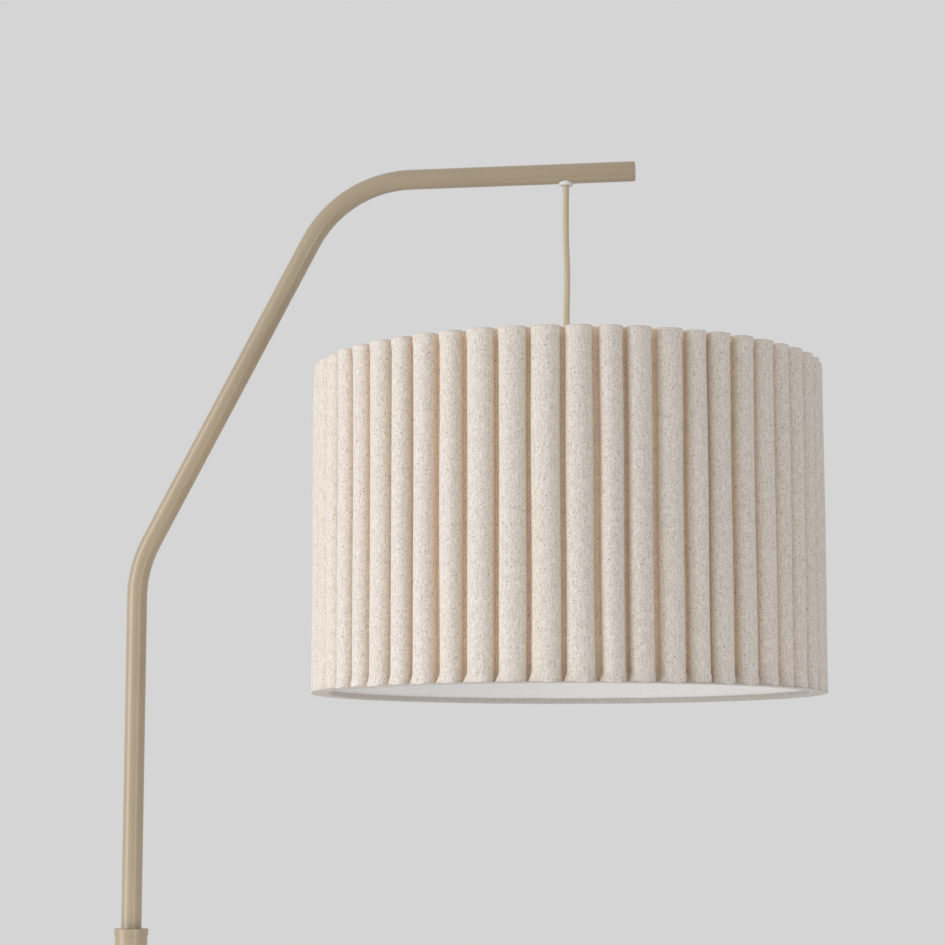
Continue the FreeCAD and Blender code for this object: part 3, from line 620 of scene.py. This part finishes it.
# ---- Shade ----
@dataclass
class Shade:
    """The fluted cover, its hem and its top binding, round the drum's axis.

    Spans are the least and the most of what is drawn at random for each flute.
    """

    axis_x: float
    top: float
    bottom: float
    crest_radius: float = 0.2500
    valley_radius: float = 0.2354
    lining_radius: float = 0.2339
    cloth_thickness: float = 0.0013
    flutes: int = 56
    valley_gap: float = 0.0044
    stilt: float = 0.0040
    closing: float = 0.0090
    closing_lean: float = 0.8
    ring_lift: float = 0.0022
    ring_reach: Span = (0.0045, 0.0110)
    phase: float = math.radians(6.789)
    unevenness: float = 0.065
    width_drift: float = 0.3
    wave: float = 0.010
    wave_beats: Span = (0.6, 1.5)
    gap_spread: Span = (0.75, 1.30)
    shut_share: float = 0.93
    crest_offset: float = 0.2
    fullness: Span = (1.85, 2.2)
    dent: float = 0.0010
    ripple: float = 0.0003
    seed: int = 235183
    crown_samples: int = 17
    side_samples: int = 3
    outer_rows: int = 44
    inner_rows: int = 12
    tape_thickness: float = 0.0010
    tape_bore: float = 0.2320
    tape_leg: float = 0.0046
    tape_waves: int = 14
    tape_wander: float = 0.0004
    tape_lift: float = 0.0002
    hem_edge: float = 0.2494
    flat_size: Span = (0.0, 0.0)
    cloth: Optional[bpy.types.Material] = None
    tape_cloth: Optional[bpy.types.Material] = None

    def valleys(self, rise: np.ndarray, rng: np.random.Generator) -> np.ndarray:
        """Angle of the valley before each flute, at each height.

        Each flute takes a share of the turn in proportion to its width, which is uneven and changes
        a little from hem to top. A slow wave up the shade is added.

        Args:
            rise: height share of each row, 0 at the hem and 1 at the top.
            rng: source of the uneven parts.

        Returns:
            rows x flutes angles.
        """
        pitch = 2 * math.pi / self.flutes
        at_hem = rng.normal(1.0, self.unevenness, self.flutes)
        at_top = at_hem + rng.normal(0.0, self.width_drift * self.unevenness, self.flutes)
        low, high = (np.cumsum(wide) - wide for wide in (at_hem / at_hem.mean(), at_top / at_top.mean()))
        beat = rng.uniform(*self.wave_beats, self.flutes)
        start = rng.uniform(0, 2 * math.pi, self.flutes)
        wave = self.wave * np.sin(2 * math.pi * rise[:, None] * beat + start)
        return self.phase + pitch * (low + (high - low) * rise[:, None] + wave)

    def flute_sections(self, rise: np.ndarray) -> np.ndarray:
        """Cover's outline at each height.

        A flute is a stilted arch. Its crown is a superellipse: sideways it is the cosine and
        outwards the sine of a half turn, both raised to two over the flute's fullness, with the
        crest set off its middle. Straight sides carry the crown, and a narrow flat valley
        follows. The valley closes over the hem, mostly from its right side, and it lies further out
        where it goes over the wire rings at both ends.

        Args:
            rise: height share of each row.

        Returns:
            rows x columns x (angle, radius).
        """
        rng = np.random.default_rng(self.seed)
        edges = self.valleys(rise, rng)
        over_hem = rise * (self.top - self.bottom)
        share = np.clip(over_hem / self.closing, 0.0, 1.0)[:, None]
        opening = share ** 1.5 * (2.5 - 1.5 * share)
        gap = self.valley_gap * rng.uniform(*self.gap_spread, self.flutes) / self.crest_radius
        shut = self.shut_share * gap * (1 - opening)
        left = edges + gap / 2 - self.closing_lean * shut
        right = self.next_flute(edges) - np.roll(gap / 2 - (1 - self.closing_lean) * shut, -1, axis=1)
        lean = rng.uniform(-self.crest_offset, self.crest_offset, self.flutes)
        crest = (left + right) / 2 + lean * (right - left) / 2
        turn = np.linspace(math.pi, 0.0, self.crown_samples)
        side = np.cos(turn)
        full = rng.uniform(*self.fullness, (2, self.flutes))
        power = 2.0 / np.where(side[None, :] < 0, full[0][:, None], full[1][:, None])
        sideways = np.sign(side) * np.abs(side) ** power
        reach = np.where(side < 0, (crest - left)[..., None], (right - crest)[..., None])
        angle = crest[..., None] + reach * sideways[None]
        shrink = rng.uniform(0.0, self.dent, self.flutes)
        shrink = shrink + self.ripple * np.sin(7 * rise[:, None] + 40 * lean)
        base = self.valley_radius + self.ring_lift * self.over_ring(over_hem)[:, None, None]
        crown = self.crest_radius - base - self.stilt - shrink[..., None]
        radius = base + self.stilt + crown * np.abs(np.sin(turn)) ** power[None]
        climb = base + self.stilt * np.linspace(0.12, 0.88, self.side_samples)
        up = np.broadcast_to(climb, (*left.shape, self.side_samples))
        across = (self.next_flute(left) - right)[..., None]
        floor_angle = right[..., None] + across * np.array([0.22, 0.5, 0.78])
        floor = np.broadcast_to(base, floor_angle.shape)
        angles = [np.broadcast_to(left[..., None], up.shape), angle,
                  np.broadcast_to(right[..., None], up.shape), floor_angle]
        radii = [up, radius, up[..., ::-1], floor]
        sections = np.stack([np.concatenate(angles, -1), np.concatenate(radii, -1)], -1)
        return sections.reshape(len(rise), -1, 2)

    def over_ring(self, height: np.ndarray) -> np.ndarray:
        """How far the valleys are pushed out at a height over the hem.

        It is 1 beside a wire ring and falls to 0 as a cosine within the ring's reach, from either end.
        """
        near = np.minimum(height, self.top - self.bottom - height)
        start, end = self.ring_reach
        share = np.clip((near - start) / (end - start), 0.0, 1.0)
        return 0.5 + 0.5 * np.cos(math.pi * share)

    @staticmethod
    def next_flute(angles: np.ndarray) -> np.ndarray:
        """The following flute's angles, past a whole turn at the last flute."""
        following = np.roll(angles, -1, axis=1)
        following[:, -1] += 2 * math.pi
        return following

    def cover(self) -> bpy.types.Object:
        """Makes the fluted cover: its outer face, its cut top, its inner face and its lower edge.

        The rows lie closer where the valleys close over the hem and where they pass the wire rings.
        The corners of the outline are softened by a weighted mean of each three neighbours.
        """
        close = self.closing / (self.top - self.bottom)
        foot_rows = close * np.concatenate([np.linspace(0, 1, 10) ** 1.4, [1.2, 1.5]])
        head_rows = 1 - foot_rows[2:][::-1]
        middle = np.linspace(foot_rows[-1], head_rows[0], self.outer_rows - 2 * len(foot_rows))[1:-1]
        up = np.concatenate([foot_rows, middle, head_rows, [1.0]])
        ends = close * np.array([0.0, 0.5, 0.8, 1.2])
        inner = np.linspace(1 - ends[-1], ends[-1], self.inner_rows)[1:-1]
        down = np.concatenate([1 - ends, inner, ends[::-1]])
        rise = np.concatenate([up, down])
        outline = self.flute_sections(rise)
        flat = outline[..., 1:] * np.stack([np.cos(outline[..., 0]), np.sin(outline[..., 0])], -1)
        flat = 0.25 * np.roll(flat, 1, axis=1) + 0.5 * flat + 0.25 * np.roll(flat, -1, axis=1)
        along = np.roll(flat, -1, axis=1) - np.roll(flat, 1, axis=1)
        along /= np.linalg.norm(along, axis=2, keepdims=True)
        inwards = np.stack([-along[..., 1], along[..., 0]], -1)
        flat[len(up):] += inwards[len(up):] * self.cloth_thickness
        foot = self.bottom + 0.4 * self.tape_thickness
        height = foot + rise * (self.top - foot)
        level = np.broadcast_to(height[:, None, None], (*flat.shape[:2], 1))
        points = np.concatenate([flat + [self.axis_x, 0.0], level], -1)
        wound = run_length(flat[len(up) // 2])
        over_top = np.where(np.arange(len(rise)) < len(up), 0, 0.001)
        climbed = run_length(np.stack([height, over_top], -1))
        cloth = np.stack(np.broadcast_arrays(wound[None, :], climbed[:, None]), -1)
        piece = skin("fluted_cover", points, cloth, self.cloth)
        self.flat_size = (float(wound[-1]), self.top - self.bottom)
        return piece

    def tape(self, name: str, outline: np.ndarray, columns: int = 720) -> bpy.types.Object:
        """Makes a cloth tape that runs round the drum.

        The outline is carried round the axis, and a few slow waves lift and widen it a little, as
        a tape that is folded and glued by hand lies.

        Args:
            name: the piece.
            outline: (radius, height) points of its section, outer face first.
            columns: steps round the drum.

        Returns:
            The piece.
        """
        turn = np.linspace(0, 2 * math.pi, columns, endpoint=False)
        rng = np.random.default_rng(self.seed + len(name))
        waves = rng.integers(3, 60, self.tape_waves)
        phases = rng.uniform(0, 2 * math.pi, self.tape_waves)
        drift = np.sin(waves[:, None] * turn + phases[:, None]).sum(0) / self.tape_waves
        radius = outline[:, 0][:, None] + self.tape_wander * drift
        height = outline[:, 1][:, None] + self.tape_lift * np.roll(drift, columns // 5)
        points = np.stack([self.axis_x + radius * np.cos(turn), radius * np.sin(turn),
                           np.broadcast_to(height, radius.shape)], -1)
        climbed = run_length(outline)
        wound = np.linspace(0, 2 * math.pi * self.lining_radius, columns + 1)
        cloth = np.stack(np.broadcast_arrays(wound[None, :], climbed[:, None]), -1)
        return skin(name, points, cloth, self.tape_cloth)

    def hem(self) -> bpy.types.Object:
        """Makes the lower tape: under the flutes, round the wire ring and up inside the lining."""
        bore, face = self.tape_bore, self.tape_bore + self.tape_thickness
        flat = self.bottom + self.tape_thickness
        leg = self.bottom + self.tape_leg
        corners = [(bore, leg), (bore, self.bottom), (self.hem_edge, self.bottom), (self.hem_edge, flat),
                   (face, flat), (face, leg)]
        radii = [0.0004, 0.0008, 0.0006, 0.0006, 0.0002, 0.0004]
        return self.tape("lower_hem", rounded_outline(corners, radii))

    def binding(self) -> bpy.types.Object:
        """Makes the upper tape: over the wire ring and down inside the lining."""
        bore, face = self.tape_bore, self.tape_bore + self.tape_thickness
        under = self.top - self.tape_thickness
        leg = self.top - self.tape_leg
        edge = self.valley_radius + self.ring_lift - 0.0007
        corners = [(bore, self.top), (bore, leg), (face, leg), (face, under), (edge, under), (edge, self.top)]
        radii = [0.0008, 0.0004, 0.0004, 0.0002, 0.0004, 0.0004]
        return self.tape("upper_binding", rounded_outline(corners, radii))

    def build(self) -> None:
        cover = self.cover()
        hem = self.hem()
        binding = self.binding()
        for piece, node in ((cover, "shade_cover"), (hem, "shade_bottom_trim"), (binding, "shade_top_trim")):
            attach(piece, "shade")
            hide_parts(node)
            LOG.info("%s stands for %s: %d faces", piece.name, node, len(piece.data.polygons))


# ---- Hanging cord ----
@dataclass
class HangingCord:
    """The textile cord between the arm's outlet and the lampholder.

    It is a smooth spline from the upper to the lower end, drawn aside at even steps by the sway.
    """

    axis_x: float
    upper: float
    lower: float
    diameter: float = 0.0062
    sway: Tuple[float, ...] = (0.0, -0.0010, 0.0010, -0.0006, 0.0)

    def build(self, material: bpy.types.Material) -> None:
        curve = bpy.data.curves.new("hanging_cord", "CURVE")
        curve.dimensions = "3D"
        curve.bevel_depth = self.diameter / 2
        curve.bevel_resolution = 6
        curve.resolution_u = 24
        curve.use_fill_caps = True
        spline = curve.splines.new("NURBS")
        spline.points.add(len(self.sway) - 1)
        for index, aside in enumerate(self.sway):
            share = index / (len(self.sway) - 1)
            height = self.upper + (self.lower - self.upper) * share
            spline.points[index].co = (self.axis_x + aside, 0.0, height, 1.0)
        spline.order_u = 3
        spline.use_endpoint_u = True
        curve.materials.append(material)
        cord = placed("hanging_cord", curve)
        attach(cord, "pendant")
        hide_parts("pendant_cord")
        LOG.info("hanging_cord: %.3f m", self.upper - self.lower)


# ---- Finishes of the frame's own nodes ----
@dataclass
class Wardrobe:
    """Gives each node of the frame the finish of its material slot."""

    finishes: Dict[str, bpy.types.Material]

    def slots(self) -> Dict[str, str]:
        """Material slot of each node, from the record."""
        return {part["node"]: part["material_slot"] for part in frame["record"]["subparts"]}

    def dress(self) -> None:
        """Puts the finishes on the nodes."""
        for node, slot in self.slots().items():
            shell = frame["nodes"][node]
            shell.data.materials.clear()
            shell.data.materials.append(self.finishes[slot])
            LOG.info("%s: %s", node, slot)


# ---- Studio ----
@dataclass
class Studio:
    """Camera at the photograph's place, plain soft light and a pale floor."""

    camera_place: Point = (0.7083, -2.4050, 0.9469)
    camera_turn: float = math.radians(8.714)
    camera_tilt: float = math.radians(7.465)
    lens: float = 94.73
    backdrop: float = 0.665
    room_light: float = 0.65
    floor_radius: float = 7.0

    def camera(self) -> None:
        """Sets the camera."""
        optics = bpy.data.cameras.new("camera")
        optics.lens = self.lens
        optics.sensor_width = 36.0
        camera = placed("camera", optics)
        camera.location = self.camera_place
        camera.rotation_euler = (math.pi / 2 + self.camera_tilt, 0.0, self.camera_turn)
        bpy.context.scene.camera = camera

    @staticmethod
    def softbox(name: str, place: Point, target: Point, size: Span, radiance: float,
                gloss_only: bool = False) -> None:
        """Hangs one rectangular lamp.

        Args:
            name: the lamp.
            place: its centre.
            target: the point that it faces.
            size: its width and height.
            radiance: brightness of its face.
            gloss_only: a card that is only seen in glossy faces and lights nothing.
        """
        lamp = bpy.data.lights.new(name, "AREA")
        lamp.shape = "RECTANGLE"
        lamp.size, lamp.size_y = size
        lamp.energy = radiance * math.pi * size[0] * size[1]
        holder = placed(name, lamp)
        holder.location = place
        aim = np.array(target) - np.array(place)
        level = math.hypot(aim[0], aim[1])
        holder.rotation_euler = (math.atan2(level, -aim[2]), 0.0, math.atan2(-aim[0], aim[1]))
        holder.visible_camera = False
        holder.visible_diffuse = not gloss_only

    def world(self) -> None:
        """Lights the room evenly and shows the pale backdrop to the camera, in gloss and through glass."""
        world = bpy.data.worlds.new("room")
        bpy.context.scene.world = world
        world.use_nodes = True
        graph = Graph(world.node_tree)
        seen = self.seen_rays(graph)
        lit, shown = (graph.node("ShaderNodeBackground", inputs={"Color": (1, 1, 1, 1), "Strength": strength})
                      for strength in (self.room_light, self.backdrop))
        either = graph.node("ShaderNodeMixShader", inputs={0: seen, 1: lit, 2: shown})
        graph.node("ShaderNodeOutputWorld", inputs={"Surface": either})

    @staticmethod
    def seen_rays(graph: Graph) -> Value:
        """1 for rays from the camera, a glossy face or glass, else 0."""
        rays = [graph.node("ShaderNodeLightPath", output=kind)
                for kind in ("Is Camera Ray", "Is Glossy Ray", "Is Transmission Ray")]
        return rays[0].math("MAXIMUM", rays[1]).math("MAXIMUM", rays[2])

    def floor(self) -> None:
        """Lays the pale floor, which fades into the backdrop away from the lamp."""
        turn = np.linspace(0, 2 * math.pi, 96, endpoint=False)
        rim = np.stack([np.cos(turn), np.sin(turn), np.zeros_like(turn)], -1) * self.floor_radius
        mesh = bpy.data.meshes.new("floor")
        mesh.from_pydata(rim, [], [tuple(range(len(turn)))])
        material, graph = new_graph("pale_floor")
        place = graph.coordinates("Object")
        out = graph.node("ShaderNodeVectorMath", {"operation": "LENGTH"}, {0: place}, "Value")
        grain = graph.noise(place, 30.0, 3.0)
        tone = graph.blend(grain, (0.70, 0.70, 0.695), (0.73, 0.73, 0.725))
        ground = graph.node("ShaderNodeBsdfPrincipled", inputs={"Base Color": tone, "Roughness": 0.8})
        glow = graph.node("ShaderNodeEmission", inputs={"Color": (1, 1, 1, 1), "Strength": self.backdrop})
        far = out.step(1.4, 0.9 * self.floor_radius) * self.seen_rays(graph)
        both = graph.node("ShaderNodeMixShader", inputs={0: far, 1: ground, 2: glow})
        graph.node("ShaderNodeOutputMaterial", inputs={"Surface": both})
        mesh.materials.append(material)
        floor = placed("floor", mesh)

    def build(self) -> None:
        """Sets up everything but the camera."""
        self.world()
        self.floor()
        self.softbox("window", (-1.86, -1.40, 1.5), (0.3, 0.0, 1.25), (1.3, 2.0), 3.85)
        self.softbox("card", (1.74, -1.80, 1.3), (0.0, 0.0, 1.2), (0.7, 2.2), 2.5, gloss_only=True)
        self.softbox("floor_bounce", (0.40, -0.75, 0.05), (0.40, -0.75, 1.0), (1.8, 1.1), 1.3)
        bpy.context.scene.view_settings.view_transform = "Standard"


def lamp_finishes(axis_x: float) -> Dict[str, bpy.types.Material]:
    """Makes the finish of each material slot.

    Args:
        axis_x: the hanging cord's axis.

    Returns:
        Materials by slot.
    """
    recipes = {
        "sand_enamel": SatinEnamel(),
        "cast_iron": SandCast(),
        "zinc_steel": TurnedMetal((0.62, 0.63, 0.65), 0.34),
        "foam_pad": CellFoam(),
        "white_nylon": Moulded((0.78, 0.78, 0.77), 0.28, Grain.POLISHED),
        "guide_nylon": Moulded((0.70, 0.69, 0.65), 0.5, Grain.SPARK),
        "gland_plastic": Moulded((0.33, 0.27, 0.185), 0.5, Grain.SPARK),
        "textile_cord": BraidedJacket(axis_x),
        "core_insulation_brown": Moulded((0.16, 0.06, 0.025), 0.4, Grain.MATT),
        "core_insulation_blue": Moulded((0.03, 0.12, 0.42), 0.4, Grain.MATT),
        "holder_plastic": Moulded((0.74, 0.73, 0.71), 0.42, Grain.SPARK),
        "porcelain": Moulded((0.80, 0.79, 0.76), 0.3, Grain.POLISHED, 0.00003, 0.7),
        "brass": TurnedMetal((0.78, 0.58, 0.27), 0.26),
        "nickel_cap": TurnedMetal((0.66, 0.64, 0.60), 0.24),
        "black_glass": Moulded((0.02, 0.02, 0.022), 0.08, Grain.POLISHED, 0.00002, 0.8),
        "bulb_opal": OpalGlass(),
        "bulb_body": Moulded((0.80, 0.80, 0.79), 0.38, Grain.MATT),
        "circuit_board": BoardLaminate(),
        "white_wire": Moulded((0.74, 0.74, 0.72), 0.4, Grain.SPARK, 0.00005, 0.2),
        "flecked_fabric": FleckedWeave(),
        "fabric_tape": FleckedWeave((0.62, 0.575, 0.525), (0.47, 0.43, 0.39), UNTINTED, UNTINTED),
        "white_lining": LinerFilm(),
    }
    return {slot: recipe.material(slot) for slot, recipe in recipes.items()}


def main() -> None:
    """Builds the camera, the cord, the shade, the finishes and the studio, in that order."""
    logging.basicConfig(level=logging.INFO, format="%(message)s")
    studio = Studio()
    studio.camera()
    low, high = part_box("shade_lining")
    axis_x = (low.x + high.x) / 2
    finishes = lamp_finishes(axis_x)
    cord_low, cord_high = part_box("pendant_cord")
    HangingCord(axis_x, cord_high.z, cord_low.z).build(finishes["textile_cord"])
    foot_box, head_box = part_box("shade_bottom_trim"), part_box("shade_top_trim")
    Shade(axis_x, head_box[1].z, foot_box[0].z, cloth=finishes["flecked_fabric"],
          tape_cloth=finishes["fabric_tape"]).build()
    Wardrobe(finishes).dress()
    studio.build()


if __name__ == "__main__":
    main()
